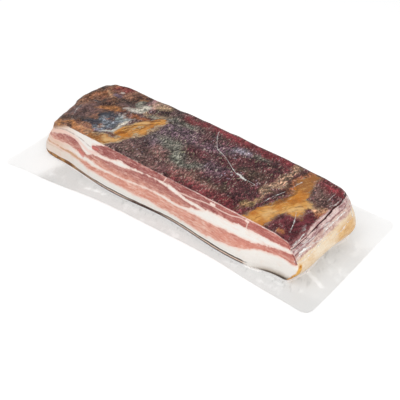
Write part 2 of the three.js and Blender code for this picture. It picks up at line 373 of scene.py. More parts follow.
# Wraps one socket of a material, so that sums of tones add Math nodes
class Tone:
    def __init__(self, tree, socket=None):
        self.tree, self.socket = tree, socket

    # One node of any type: its settings first, then values or links into its sockets
    def node(self, kind, settings=None, inputs=None, out=0):
        made = self.tree.nodes.new(kind)
        for name, value in (settings or {}).items():
            setattr(made, name, value)
        for key, value in (inputs or {}).items():
            if isinstance(value, Tone):
                self.tree.links.new(value.socket, made.inputs[key])
            else:
                made.inputs[key].default_value = value
        return Tone(self.tree, made.outputs[out]) if made.outputs else made

    def math(self, operation, *values):
        return self.node("ShaderNodeMath", {"operation": operation}, dict(enumerate(values)))

    def __add__(self, other):
        return self.math("ADD", self, other)

    __radd__ = __add__

    def __sub__(self, other):
        return self.math("SUBTRACT", self, other)

    def __rsub__(self, other):
        return self.math("SUBTRACT", other, self)

    def __neg__(self):
        return 0 - self

    def __mul__(self, other):
        return self.math("MULTIPLY", self, other)

    __rmul__ = __mul__

    def __pow__(self, other):
        return self.math("POWER", self, other)

    def __abs__(self):
        return self.math("ABSOLUTE", self)

    # Smooth step of this tone from 0 at low to 1 at high
    def step(self, low, high):
        settings = {"interpolation_type": "SMOOTHSTEP"}
        return self.node("ShaderNodeMapRange", settings, {"Value": self, "From Min": low, "From Max": high})

    # Mask that rises over one range of this tone and falls over another
    def band(self, rise, fall):
        return self.step(*rise) * (1 - self.step(*fall))

    # This mask lays one colour over another
    def lay(self, below, above):
        return self.node("ShaderNodeMix", {"data_type": "RGBA"}, {0: self, 6: below, 7: above}, out=2)

    def field(self, name):
        return self.node("ShaderNodeAttribute", {"attribute_name": name}, out="Fac")

    # Mask inside the strokes of a field, with their edge moved by a wobble in millimetres
    def inside(self, name, wobble, low, high):
        return (-self.field(name) - wobble).step(low, high)

    # Noise from about -1 to 1 with grains of a size in millimetres, stretched along axes turned about z
    def noise(self, size, stretch=(1, 1, 1), detail=3.0, seed=0.0, swirl=0.0, turn=0.0):
        own = self.node("ShaderNodeTexCoord", out="Object")
        inputs = {"Vector": own, "Location": (seed, seed, seed), "Rotation": (0, 0, turn), "Scale": stretch}
        place = self.node("ShaderNodeMapping", {"vector_type": "TEXTURE"}, inputs)
        if swirl:
            inputs = {"Vector": place, "Scale": 0.6 / (size * mm), "Detail": 1.0}
            stir = self.node("ShaderNodeTexNoise", None, inputs, out="Color")
            stir = stir.vector("SUBTRACT", {1: (0.5, 0.5, 0.5)}).times(swirl * mm)
            place = place.vector("ADD", {1: stir})
        inputs = {"Vector": place, "Scale": 1 / (size * mm), "Detail": detail, "Roughness": 0.6}
        return (self.node("ShaderNodeTexNoise", None, inputs) - 0.5) * 4.5

    # Vector Math on this colour or vector
    def vector(self, operation, others):
        return self.node("ShaderNodeVectorMath", {"operation": operation}, {0: self, **others})

    # This colour or vector times a factor
    def times(self, factor):
        return self.vector("SCALE", {"Scale": factor})


# Colour from its sRGB parts, 0 to 255
def tint(red, green, blue):
    parts = np.array([red, green, blue]) / 255
    linear = np.where(parts <= 0.04045, parts / 12.92, ((parts + 0.055) / 1.055) ** 2.4)
    return (*linear.tolist(), 1.0)


def tinted(colours):
    return SimpleNamespace(**{name: tint(*colour) for name, colour in colours.items()})


def newFinish(name):
    finish = bpy.data.materials.new(name)
    finish.use_nodes = True
    finish.node_tree.nodes.clear()
    return finish, Tone(finish.node_tree)


def setSurface(tone, shader):
    tone.node("ShaderNodeOutputMaterial", None, {"Surface": shader})


# Noises of the slab's finish: sizes of grain in millimetres and how it is drawn
slabNoises = {
    "coarse": {"size": 22, "seed": 1.3},
    "mid": {"size": 8, "seed": 3.1},
    "fine": {"size": 3, "seed": 5.3},
    "tiny": {"size": 1.3, "detail": 1.5, "seed": 7.7},
    "grain": {"size": 2.4, "stretch": (4, 1, 1), "seed": 9.2},
    "fibre": {"size": 1.5, "stretch": (5, 1, 1), "detail": 2.0, "seed": 5.9},
    "across": {"size": 2.6, "stretch": (1, 4.5, 1), "seed": 6.1},
    "swirl": {"size": 15, "seed": 2.2, "swirl": 30},
    "flow": {"size": 2.4, "stretch": (5, 1, 1), "seed": 3.7, "turn": 1.15},
    "pleat": {"size": 6, "stretch": (3.5, 1, 1), "detail": 2.0, "seed": 1.9, "swirl": 8, "turn": 1.15},
    "grit": {"size": 1.5, "stretch": (2.2, 1, 1), "detail": 1.5, "seed": 8.6, "swirl": 4, "turn": 1.87},
    "speck": {"size": 1.5, "stretch": (2.2, 1, 1), "detail": 1.0, "seed": 4.4, "turn": 1.87},
}
# Layers of the cut face, as heights over places along it, and marks on it as strokes
layers = {
    "bottomFat": [
        (-155, 15.6), (-130, 15.8), (-112, 15), (-100, 12.5), (-90, 11.5), (-60, 11), (-40, 11.5),
        (-20, 10), (-10, 11), (10, 9), (50, 8.5), (67, 8), (70, 10), (75, 9), (90, 11.5), (105, 14),
        (115, 18), (125, 21.5), (140, 23), (150, 23), (160, 22),
    ],
    "lowerLean": [
        (-155, 17.4), (-130, 17.8), (-112, 17.6), (-100, 17), (-80, 16), (-60, 18.4), (-30, 20),
        (-10, 21.6), (10, 21), (25, 19.3), (40, 21), (70, 22.5), (100, 24), (118, 25), (130, 28),
        (150, 31), (160, 32),
    ],
    "middleFat": [
        (-152, 23), (-140, 22.5), (-120, 25.5), (-104, 23), (-95, 22.5), (-84, 21.5), (-70, 20),
        (-40, 21), (-20, 23), (0, 24), (10, 23.5), (20, 22.5), (30, 22.5), (40, 25), (45, 27), (50, 28),
        (57, 30.5), (62, 32),
    ],
    "middleLean": [
        (-152, 24.5), (-145, 28), (-138, 30), (-130, 33), (-122, 35.5), (-115, 36), (-105, 33),
        (-100, 29), (-96, 26), (-92, 24), (-88, 26), (-84, 29), (-60, 30.5), (-40, 31), (-36, 33),
        (-30, 34.5), (-10, 36.5), (5, 36.5), (12, 35), (20, 33), (35, 31), (50, 30), (57, 30), (62, 28),
    ],
    "upperFat": [
        (-160, 52), (-88, 50), (-85, 35), (-80, 33.5), (-56, 34.5), (-50, 37), (-45, 37.5), (-36, 36),
        (-30, 36.2), (-20, 36.8), (0, 38), (18, 38.4), (28, 36.4), (34, 34), (42, 33), (56, 33.4),
        (78, 34.4), (90, 34.4), (100, 35.5), (110, 36), (158, 35.5),
    ],
    "fatSpots": [
        (3.5, [(-100, 40.5), (-86, 41.5), (-76, 45), (-66, 48.5)]), (1.7, [(68, 41.6), (71, 41.6)]),
        (1.1, [(107.5, 42.3), (109.5, 42)]),
    ],
    "fatThreads": [
        [(28, 36), (45, 36.9), (56, 38.9), (65, 40), (77, 39.8), (87, 39.6), (94, 40.8), (100, 42.6),
         (108, 42.2)], [(109, 42), (108.4, 36)], [(10, 39), (13, 44)], [(78, 33.3), (95, 33.4)],
    ],
    "rindGap": [
        (-90, 0.3), (-75, 0.75), (-50, 0.75), (-35, 0.6), (-20, 0.2), (0, 0.1), (10, 0.5), (30, 0.8),
        (60, 1),
    ],
    "brown": [(3, [(-148, 35), (-135, 41.5), (-122, 47)])],
    "greyLine": [
        (0.5, [(-140, 35.6), (-130, 38.5), (-122, 40), (-112, 39.7), (-100, 38.5), (-87, 35.5)]),
    ],
    "pinkFat": [(1.6, [(-144, 31), (-126, 37), (-111, 37), (-100, 33), (-90, 30), (-78, 32.5)])],
    "redSpots": [(2.4, [(-102, 24), (-98, 22)]), (1.6, [(-84, 36), (-77, 37)])],
    "paleLine": [(0.5, [(-155, 12), (-140, 13.4), (-128, 13)])],
}
# How those marks look: softness, share, and one colour or two
cutMarks = {
    "brown": (2.0, 0.9, [(184, 128, 70), (124, 76, 44)]),
    "pinkFat": (1.4, 0.75, [(240, 204, 192)]),
    "greyLine": (0.6, 0.7, [(164, 136, 130)]),
    "redSpots": (1.0, 0.7, [(206, 112, 104)]),
    "paleLine": (0.5, 0.5, [(206, 172, 140)]),
}
# Lean of the cut face, low on it and high on it
leanTones = {
    "plain": ((222, 162, 143), (164, 98, 92)),
    "red": ((210, 134, 116), (138, 72, 70)),
    "pale": ((236, 202, 186), (206, 152, 142)),
    "dark": ((190, 112, 96), (124, 58, 58)),
    "paleFibre": ((240, 204, 188), (210, 160, 150)),
    "darkFibre": ((198, 118, 102), (130, 64, 64)),
}
cutTones = {
    "rightLean": (210, 124, 108), "leftLean": (210, 166, 132),
    "fat": (239, 234, 228), "warmFat": (236, 214, 198), "leftFat": (224, 186, 160),
    "blush": (238, 204, 190), "thread": (240, 212, 200), "edge": (242, 210, 200),
}
leanCurves = ("bottomFat", "lowerLean", "middleFat", "middleLean", "upperFat")


# Signed depth inside the lean in millimetres: between two curves, or above the last one
def leanField(x, z):
    height = {name: lineHeight(layers[name], x) for name in leanCurves}
    lower = np.minimum(z - height["bottomFat"], height["lowerLean"] - z)
    middle = np.minimum(z - height["middleFat"], height["middleLean"] - z)
    lean = np.maximum(np.maximum(lower, middle), z - height["upperFat"])
    return np.minimum(lean, strokeField(np.stack([x, z], axis=1), layers["fatSpots"]))


# Cut face: salmon lean, mauve towards the top, in cream fat, with threads of fat and the marks
def cutFaceColour(tone, noise):
    paint = tinted(cutTones)
    along, height, depth = tone.field("along"), tone.field("height"), tone.field("lean")
    high = (height + noise.mid * 3).step(16, 37)
    shade = {name: high.lay(tint(*low), tint(*top)) for name, (low, top) in leanTones.items()}
    lean = ((noise.coarse + noise.mid * 0.6).step(-0.2, 1.0) * 0.45).lay(shade["plain"], shade["red"])
    lean = ((noise.grain + noise.fine * 0.7).step(-0.1, 1.1) * 0.75).lay(lean, shade["pale"])
    between = noise.fine * 0.7 + noise.tiny * 0.7 - noise.grain * 0.7
    lean = (between.step(0.0, 1.2) * 0.7).lay(lean, shade["dark"])
    lean = (noise.fibre.step(0.2, 0.8) * 0.7).lay(lean, shade["paleFibre"])
    lean = ((-noise.fibre).step(0.2, 0.8) * 0.65).lay(lean, shade["darkFibre"])
    lean = (along.step(50, 120) * 0.35).lay(lean, paint.rightLean)
    leftLow = (along + noise.mid * 6).step(-98, -112) * (1 - height.step(18, 21))
    lean = leftLow.lay(lean, paint.leftLean)

    fat = (noise.mid + noise.fine * 0.5 + noise.coarse * 0.5).step(0.3, 2.2).lay(paint.fat, paint.warmFat)
    leftFat = (along + noise.mid * 4).step(-98, -142) * (height.step(10, 24) * 0.5 + 0.4)
    fat = leftFat.lay(fat, paint.leftFat)
    blush = (depth + noise.mid * 0.8 + noise.grain * 0.8).step(-3.0, 0.3)
    fat = (blush * 0.8).lay(fat, paint.blush)
    wobbly = depth + noise.grain * 0.7 + noise.fine * 0.5 + noise.mid * 0.6 + noise.tiny * 0.3
    colour = wobbly.step(-0.6, 0.6).lay(fat, lean)

    side = tone.field("threadSide") + noise.grain * 0.15 + noise.fine * 0.12
    thread = (1 - abs(side).step(0.25, 0.8)) * (1 - tone.field("thread").step(1.0, 2.2))
    colour = (thread * 0.75).lay(colour, paint.thread)
    mottle = (noise.mid + noise.fine).step(-0.6, 0.8)
    for name, (soft, share, colours) in cutMarks.items():
        mark = tone.inside(name, noise.grain * 0.5 + noise.fine * 0.4, -soft, soft) * share
        colour = mark.lay(colour, mottle.lay(tint(*colours[0]), tint(*colours[-1])))
    return colour


rindTones = {
    "line": (48, 26, 20), "closedGap": (66, 34, 28), "openGap": (232, 206, 188),
    "paleGrey": (168, 138, 116), "darkGrey": (110, 84, 70), "golden": (190, 140, 84),
    "brown": (116, 76, 48), "shade": (150, 124, 96), "deepShade": (62, 46, 30),
}


# Height over the foot, a little uneven
def footHeight(tone, noise):
    return tone.field("height") + noise.grain * 0.25 + noise.mid * 0.2


# Rind along the foot of the cut face: two dark lines with a gap between, grey and golden brown at the
# left, and shade where the foot turns under at the right
def rindOver(tone, noise, colour):
    paint = tinted(rindTones)
    along, foot, gapShare = tone.field("along"), footHeight(tone, noise), tone.field("rindGap")
    gap = (gapShare + noise.mid * 0.1).step(0, 1).lay(paint.closedGap, paint.openGap)
    rind = foot.band((1.5, 1.8), (2.7, 3.0)).lay(paint.line, gap)
    greyFoot = (along + noise.mid * 4).step(-70, -84)
    rind = (greyFoot * 0.8).lay(rind, noise.grain.step(-0.6, 0.8).lay(paint.paleGrey, paint.darkGrey))
    brownFoot = (along + noise.mid * 4).step(-98, -120)
    brown = (noise.mid + noise.grain).step(-0.6, 0.8).lay(paint.golden, paint.brown)
    rind = (brownFoot * foot.step(0.6, 1.4)).lay(rind, brown)
    reach = 1 - (foot + (1 - gapShare) * 0.8 - brownFoot * 1.2).step(3.8, 4.4)
    colour = (reach * (1 - (along + noise.mid * 3).step(109, 117))).lay(colour, rind)
    turned = along.step(116, 134)
    shaded = foot - along.step(120, 150) * 1.6
    colour = (turned * 0.65 * (1 - shaded.step(0.5, 8))).lay(colour, paint.shade)
    return (turned * 0.9 * (1 - shaded.step(0.6, 3.2))).lay(colour, paint.deepShade)


# Marks on the sides that were not cut, as places along, across and up
endMarks = {
    "wedge": [
        (3.6, [(156.5, 1, 0), (162.5, 3, 9)]), (2.2, [(162.5, 3, 9), (165, 4, 20)]),
        (1.2, [(165, 4, 20), (164, 4, 25)]),
    ],
    "corner": [(0.7, [(150, 0, 43), (153, 0, 39), (157, 0, 33), (160, 1, 28), (162, 1, 23)])],
    "amber": [(6, [(163, 80, 22), (164, 65, 17), (163, 85, 13)]), (5, [(158, 95, 12), (150, 100, 10)])],
}
# Sides that were not cut: fat up to a line, then lean up to a fold, as places across and heights. These
# are the right end's, and the back and the left end have level ones with waves of a length and crest
sideLines = {
    "fold": [(4, 34), (11, 34), (23, 35), (35, 37), (51, 39), (66, 41), (83, 42), (100, 41)],
    "fat": [(2, 25.5), (30, 26), (60, 27.5), (90, 30)],
    "rightFrom": (120, 150), "backFold": 38, "backFat": 24,
    "wave": 1.5, "foldWave": (71, 10), "fatWave": (43, 0), "fatDrop": 0.6,
}
# The fold's lips and groove. Places off the right end, and those towards its back, count as higher over
# the fold by "none" and "faded", which takes them clear of it
foldShape = {
    "lip": 0.8, "lowerLip": 0.64, "lipAt": 2.2, "lipWidth": 1.4, "groove": 0.9, "grooveWidth": 0.9,
    "fade": (66, 86), "faded": 6, "none": 50,
}
# Strips of colour up the sides: where they start, softness, light and dark
strips = [
    (0.0, 0.1, (230, 202, 190), (186, 144, 136)),
    (0.46, 0.03, (172, 134, 130), (140, 98, 100)),
    (0.55, 0.03, (232, 204, 198), (162, 116, 118)),
    # painted shade: the dark strip in the fold's groove, between pale strips that are partly painted
    # highlight
    (0.935, 0.02, (58, 25, 26), (80, 38, 38)),
    (1.05, 0.03, (232, 204, 196), (178, 126, 126)),
    (1.3, 0.06, (150, 98, 98), (108, 56, 60)),
]
sideTones = {
    "cream": (244, 228, 204), "warm": (230, 194, 148), "paleAmber": (234, 190, 124),
    "amber": (206, 150, 82), "rind": (150, 108, 70), "paleWedge": (232, 176, 84), "wedge": (190, 120, 46),
    "corner": (116, 44, 42),
}


# Heights of the fat and of the fold, and how far a place belongs to the right end
def sideHeights(x, y):
    drop = topHeight(x, y) - slab["height"]
    right = ease(x, *sideLines["rightFrom"])
    backFold = sideLines["backFold"] + sideLines["wave"] * cosWave(x, *sideLines["foldWave"]) + drop
    backFat = sideLines["backFat"] + sideLines["wave"] * cosWave(x + y, *sideLines["fatWave"])
    backFat = backFat + sideLines["fatDrop"] * drop
    fold = mixed(backFold, lineHeight(sideLines["fold"], y), right)
    return mixed(backFat, lineHeight(sideLines["fat"], y), right), fold, right


# Place between those two heights: 0 where the fat ends, 1 at the fold
def stripField(x, y, z):
    fat, fold, _ = sideHeights(x, y)
    return (z - fat) / (fold - fat)


# Raised lips either side of the right end's fold, and its groove, each a bell curve of the height over it
def foldRelief(x, y, z):
    made = foldShape
    _, fold, right = sideHeights(x, y)
    above = (z - fold) * right + made["none"] * (1 - right) + made["faded"] * ease(y, *made["fade"])
    upper = made["lip"] * np.exp(-(((above - made["lipAt"]) / made["lipWidth"]) ** 2))
    lower = made["lowerLip"] * np.exp(-(((above + made["lipAt"]) / made["lipWidth"]) ** 2))
    return upper + lower - made["groove"] * np.exp(-((above / made["grooveWidth"]) ** 2))


# How far the slab's surface is raised: lumps all over, and the fold where it was not cut
def raised(points, topShare, uncut):
    return relief(points, topShare) + uncut * (1 - topShare**4) * foldRelief(*np.moveaxis(points, -1, 0))


# Sides that were not cut: cream fat going golden, then pink lean in strips, with painted shade in the
# fold's groove between pale strips that are partly painted highlight
def sideColour(tone, noise):
    paint = tinted(sideTones)
    along = tone.field("along")
    ends = along.step(130, 150) + (-along).step(140, 156)
    streak = noise.grain * (0.9 - ends * 0.4) + noise.across * (ends * 0.7)
    colour = (noise.coarse * 0.5 + streak * 0.9).step(-0.9, 1.4).lay(paint.cream, paint.warm)
    amber = tone.inside("amber", noise.mid * 2.5 + streak * 3, -5, 4) * 0.8
    colour = amber.lay(colour, streak.step(-0.8, 0.8).lay(paint.paleAmber, paint.amber))
    strip = tone.field("strip") + streak * 0.03 + noise.mid * 0.03
    streaky = streak.step(-0.4, 0.5)
    for start, soft, light, dark in strips:
        colour = (strip - start).step(-soft, soft).lay(colour, streaky.lay(tint(*light), tint(*dark)))
    return (1 - footHeight(tone, noise).step(0.4, 1.4)).lay(colour, paint.rind)


# All the walls, with a wedge of fat and a dark line at the front right corner
def wallColour(tone, noise):
    paint = tinted(sideTones)
    cutColour = rindOver(tone, noise, cutFaceColour(tone, noise))
    colour = tone.field("cut").step(0.4, 0.6).lay(sideColour(tone, noise), cutColour)
    wedge = (noise.mid + noise.fine).step(-0.5, 0.8).lay(paint.paleWedge, paint.wedge)
    colour = tone.inside("wedge", noise.mid * 0.8, -0.8, 0.8).lay(colour, wedge)
    return (tone.inside("corner", noise.fine * 0.4, -0.5, 0.5) * 0.85).lay(colour, paint.corner)


# Patches of the cured top, lowest first: colour, softness, share, raggedness, share of flecks, then
# strokes, each a half width and places along and across
topMarks = [
    ((128, 92, 76), 6, 0.6, 1.0, 0.5, [
        (7, [(-148, 45), (-146, 62)]), (6, [(-142, 40), (-130, 42)]), (5, [(-138, 84), (-116, 88)]),
        (5, [(-126, 25), (-118, 30)]),
    ]),
    ((56, 40, 38), 5, 0.85, 1.0, 0.5, [
        (7, [(-140, 14), (-130, 26)]), (5, [(-132, 54), (-122, 60)]), (8, [(-113, 68), (-99, 76)]),
        (4, [(-119, 14), (-111, 20)]), (4, [(-61, 76), (-52, 76)]),
    ]),
    ((104, 82, 82), 6, 0.8, 1.0, 0.3, [
        (8, [(-141, 30), (-134, 40)]), (6, [(-136, 48), (-120, 40)]), (5, [(-126, 27), (-120, 32)]),
        (4, [(-127, 76), (-118, 79)]), (4, [(-106, 64), (-98, 68)]),
    ]),
    ((144, 94, 64), 4, 0.6, 0.9, 0.2, [
        (3.5, [(-149, 58), (-141, 74)]), (3, [(-142, 66), (-130, 70)]), (2.4, [(-146, 49), (-138, 48)]),
    ]),
    ((172, 116, 70), 3, 0.85, 0.8, 0.15, [
        (3.8, [(-124, 49), (-104, 55)]), (3, [(-138, 3), (-124, 8), (-115, 6)]),
        (2, [(-101, 86), (-95, 88)]),
    ]),
    ((184, 124, 82), 3, 0.8, 0.8, 0.1, [(3.4, [(-114, 4), (-97, 5)])]),
    ((114, 94, 112), 3, 0.8, 0.8, 0.3, [(3, [(-128, 75), (-119, 77)])]),
    ((192, 150, 118), 2.5, 0.85, 0.8, 0.2, [
        (3, [(142, 50), (148, 54)]), (2.4, [(-139, 78), (-130, 74)]), (1.6, [(-128, 68), (-124, 70)]),
        (1.8, [(-110, 6), (-101, 6)]),
    ]),
    ((102, 104, 94), 7, 0.8, 1.0, 1.0, [
        (9, [(-40, 44), (-12, 42)]), (9, [(-6, 36), (10, 27)]), (7, [(10, 24), (26, 34)]),
        (5, [(-34, 83), (-22, 78)]), (4, [(55, 82), (65, 83)]), (6, [(-50, 74), (-42, 70)]),
    ]),
    ((96, 76, 86), 7, 0.75, 1.0, 0.95, [
        (10, [(-50, 60), (-16, 64)]), (7, [(-43, 45), (-36, 36)]), (8, [(5, 60), (28, 72)]),
        (7, [(30, 42), (46, 38)]),
    ]),
    ((112, 86, 80), 6, 0.8, 1.0, 0.6, [(8, [(128, 78), (140, 64)]), (6, [(-58, 14), (-30, 10)])]),
    ((84, 46, 50), 6, 0.75, 1.0, 0.5, [
        (8, [(56, 26), (80, 36)]), (5, [(103, 18), (104, 34)]), (7, [(40, 56), (60, 70)]),
        (6, [(0, 50), (18, 46)]),
    ]),
    ((74, 60, 50), 6, 0.7, 1.0, 0.5, [(6, [(34, 18), (64, 20)]), (6, [(60, 54), (84, 52)])]),
    ((130, 50, 56), 6, 0.85, 1.0, 0.2, [
        (3.5, [(-42, 91), (-18, 92)]), (5, [(-8, 93), (50, 93)]), (4, [(50, 92), (86, 90)]),
        (4.5, [(130, 88), (150, 86)]), (3.4, [(-134, 89), (-122, 89)]),
    ]),
    ((116, 50, 54), 6, 0.8, 1.0, 0.4, [(6, [(14, 6), (60, 7), (96, 5)])]),
    ((100, 46, 52), 5, 0.95, 0.8, 0.06, [(8, [(144, 10), (146, 38)]), (6, [(132, 14), (136, 22)])]),
    ((200, 138, 78), 2.5, 0.8, 0.5, 0.1, [(1.4, [(138, 5), (142, 7)])]),
    ((136, 98, 90), 6, 0.5, 1.0, 0.8, [
        (5, [(-26, 26), (-12, 22)]), (4, [(-20, 6), (-4, 6)]), (5, [(6, 13), (50, 15)]),
    ]),
    ((178, 112, 74), 4, 0.85, 0.8, 0.3, [
        (3.2, [(109, 52), (110, 92)]), (3, [(118, 78), (116, 92)]), (2.4, [(149, 50), (153, 55)]),
    ]),
    ((152, 146, 158), 5, 0.75, 0.8, 0.9, [(3.8, [(36, 74.5), (44, 76)])]),
    ((66, 44, 42), 3, 0.8, 0.9, 0.2, [(2.5, [(101, 30), (106, 50), (105, 72), (103, 90)])]),
    ((150, 120, 98), 3, 0.85, 1.0, 0.9, [
        (4.6, [(95, 40), (98, 55), (97, 72), (95, 92)]), (3, [(95, 28), (95, 38)]),
    ]),
    ((162, 134, 92), 2.5, 0.65, 0.9, 0.6, [(2.4, [(91, 24), (95, 12)])]),
    ((174, 134, 134), 2.5, 0.85, 0.8, 0.3, [(3.4, [(-86, 90), (-80, 77)])]),
    ((186, 156, 124), 4, 0.8, 1.0, 0.4, [
        (4.4, [(-78, 84), (-70, 92)]), (2.4, [(-80, 68), (-70, 70), (-58, 74)]),
        (1.6, [(-64, 22), (-58, 30)]), (1.6, [(-51, 46), (-50, 58), (-53, 68)]),
    ]),
    ((132, 130, 118), 2.5, 0.85, 0.9, 0.3, [
        (4.5, [(-98, 82), (-90, 74)]), (2.5, [(-72, 68), (-66, 70)]),
    ]),
    ((200, 194, 180), 2, 0.9, 0.8, 0.15, [(3.6, [(-94, 63), (-86, 68), (-84, 76)])]),
    ((58, 60, 70), 2.5, 0.92, 0.9, 0.3, [
        (5, [(-110, 22), (-103, 32)]), (3.4, [(-110, 16), (-104, 21)]), (5.5, [(-107, 38), (-94, 47)]),
    ]),
    ((114, 121, 130), 2.5, 0.88, 1.0, 0.5, [
        (6, [(-101, 34), (-91, 28)]), (4.5, [(-101, 17), (-90, 20)]), (4, [(-90, 34), (-86, 42)]),
    ]),
    ((146, 154, 154), 2, 0.9, 0.8, 0.3, [(3.6, [(-91, 45), (-84, 50)])]),
    ((198, 190, 176), 2, 0.9, 0.8, 0.2, [(3.2, [(-87, 15), (-81, 24), (-80, 36), (-82, 46)])]),
    ((158, 148, 166), 2, 0.9, 0.7, 0.2, [(2.4, [(-98, 12), (-88, 15)])]),
    ((216, 194, 186), 1, 0.9, 0.5, 0.1, [
        (1.4, [(-98, 62), (-88, 63)]), (1.2, [(-101, 22), (-95, 27)]), (0.6, [(-101, 51), (-92, 49)]),
        (0.5, [(-90, 54), (-88, 50)]), (0.7, [(-126, 84), (-121, 84.5)]),
    ]),
    ((158, 94, 56), 2.5, 0.85, 0.8, 0.2, [(3, [(-84, 56), (-72, 58)])]),
]
markShades = (0.72, 1.26)  # the dark and the light of each patch, as shares of its colour
stirring = {"height": 2.4, "lengths": (8, 36), "seeds": (11, 12)}  # how far the strokes' edges are stirred
topTones = {
    "darkPurple": (58, 28, 33), "purple": (106, 63, 65), "darkGrey": (54, 38, 40), "grey": (102, 84, 82),
    "darkBrown": (56, 38, 33), "tan": (168, 119, 90), "mauve": (112, 76, 80), "rust": (136, 74, 54),
    "crack": (44, 28, 26), "pit": (38, 20, 26),
    "oliveSpeck": (208, 202, 164), "pinkSpeck": (218, 200, 186), "violetSpeck": (206, 196, 220),
    "tanSpeck": (212, 178, 152),
}


# Cured top: purple brown, greyer to the left and tan brown at the left end, under patches of mould, fat
# and red lean, with dark pits, and grit and specks that are partly mould and partly painted glints of the
# film
def topColour(tone, noise):
    paint = tinted(topTones)
    along = tone.field("along")
    patchy = (noise.coarse * 0.7 + noise.mid * 0.9 + noise.fine * 0.5).step(-0.9, 0.9)
    greyer = (along + noise.coarse * 14).step(40, -30) * 0.7
    colour = greyer.lay(patchy.lay(paint.darkPurple, paint.purple), patchy.lay(paint.darkGrey, paint.grey))
    brown = (noise.swirl * 0.8 + noise.flow * 0.7 + noise.fine * 0.4).step(-0.7, 0.8)
    brown = brown.lay(paint.darkBrown, paint.tan)
    brown = ((noise.mid + noise.flow * 0.6).step(0.1, 0.9) * 0.5).lay(brown, paint.mauve)
    brown = ((noise.coarse - noise.fine * 0.6).step(0.2, 0.9) * 0.5).lay(brown, paint.rust)
    brown = (noise.ridge * 0.7).lay(brown, paint.crack)
    leftSide = (-97 - along + noise.mid * 6 + noise.coarse * 5).step(-6, 6)
    colour = leftSide.lay(colour, brown)

    flecks = 0.8 - leftSide * 0.4
    streaky = (noise.flow * 0.7 + noise.fine * 0.7 + noise.mid * 0.5).step(-0.8, 0.8)
    for i, (patch, soft, share, rough, fleck, _) in enumerate(topMarks):
        mark = tone.inside(f"mark{i}", noise.ragged * rough, -soft, soft) * share
        dark, light = (tint(*[min(255, shade * part) for part in patch]) for shade in markShades)
        colour = mark.lay(colour, streaky.lay(dark, light))
        flecks = flecks + mark * (fleck - flecks)

    pits = (-noise.fine - noise.tiny * 0.6 - noise.mid * 0.4).step(0.2, 1.3)
    colour = (pits * (flecks * 0.5 + 0.25)).lay(colour, paint.pit)
    # light grit and specks: partly the top's own flecks, partly painted glints of the film
    grit = noise.grit.step(0.0, 1.0) * 2.8 - (-noise.grit).step(0.0, 0.9) * 0.7
    colour = colour.times(1 + flecks * grit)
    speck = (noise.coarse + noise.mid).step(-0.6, 0.6).lay(paint.oliveSpeck, paint.pinkSpeck)
    speck = noise.swirl.step(0.2, 0.8).lay(speck, paint.violetSpeck)
    speck = leftSide.lay(speck, paint.tanSpeck)
    clump = (noise.mid + noise.fine * 0.6).step(-0.7, 0.9) * 0.7 + 0.3
    specksAndGlints = (noise.speck + noise.tiny * 0.4).step(0.5, 0.9) * flecks * clump
    return specksAndGlints.lay(colour, speck)


# Bands of golden fat on the top: the whole of them, then where they are palest, deepest, dull, ashen
# and veined
goldMarks = {
    "gold": [
        (3.4, [(-92, 2), (-82, 4)]), (5.2, [(-77, 6), (-70, 14)]),
        (5.4, [(-74, 26), (-68, 40), (-62, 54), (-56, 64)]), (3, [(-68, 20), (-62, 34), (-57, 46)]),
        (8.5, [(112, 3), (115, 12), (118, 26)]), (9, [(119, 33), (125, 42)]),
        (8.5, [(124, 46), (130, 47)]), (3.4, [(131, 49), (138, 51)]), (4.5, [(131, 40), (135, 31)]),
        (8, [(122, 50), (122, 58)]), (4.2, [(120, 66), (118, 78)]), (2, [(117, 84), (115, 92)]),
    ],
    "goldLight": [
        (2.8, [(-72, 38), (-64, 54)]), (2.6, [(118, 13), (120, 27)]), (4, [(127, 34), (133, 40)]),
        (3.6, [(140, 50), (147, 56)]), (2.4, [(-76, 9), (-70, 14)]),
    ],
    "goldDeep": [(3.5, [(-61, 64), (-57, 56)]), (5, [(121, 42), (122, 58)]), (3, [(-73, 21), (-67, 30)])],
    "goldDull": [(5, [(119, 68), (116, 92)]), (4, [(-93, 2), (-80, 4)])],
    "ash": [(2, [(-90, 11), (-83, 21), (-80, 33)])],
    "vein": [
        (0.9, [(-80, 18), (-70, 31), (-66, 41), (-61, 50), (-58, 58)]),
        (0.7, [(-80, 33), (-72, 50), (-66, 62)]), (0.9, [(108, 22), (113, 40), (116, 62)]),
        (0.6, [(128, 38), (134, 44)]),
    ],
}
# How parts of the bands look: softness, share and colour
goldParts = {
    "goldDeep": (3.0, 0.7, (202, 124, 40)),
    "goldDull": (4.0, 0.75, (150, 98, 58)),
    "goldLight": (4.0, 0.7, (240, 202, 142)),
}
goldTones = {
    "amber": (190, 114, 46), "pale": (236, 178, 98), "darkGrain": (104, 58, 28),
    "paleGrain": (250, 222, 168), "crack": (112, 62, 30), "darkFringe": (96, 64, 46),
    "fringe": (190, 160, 124), "rim": (214, 186, 146), "ash": (204, 206, 202), "vein": (116, 66, 32),
}


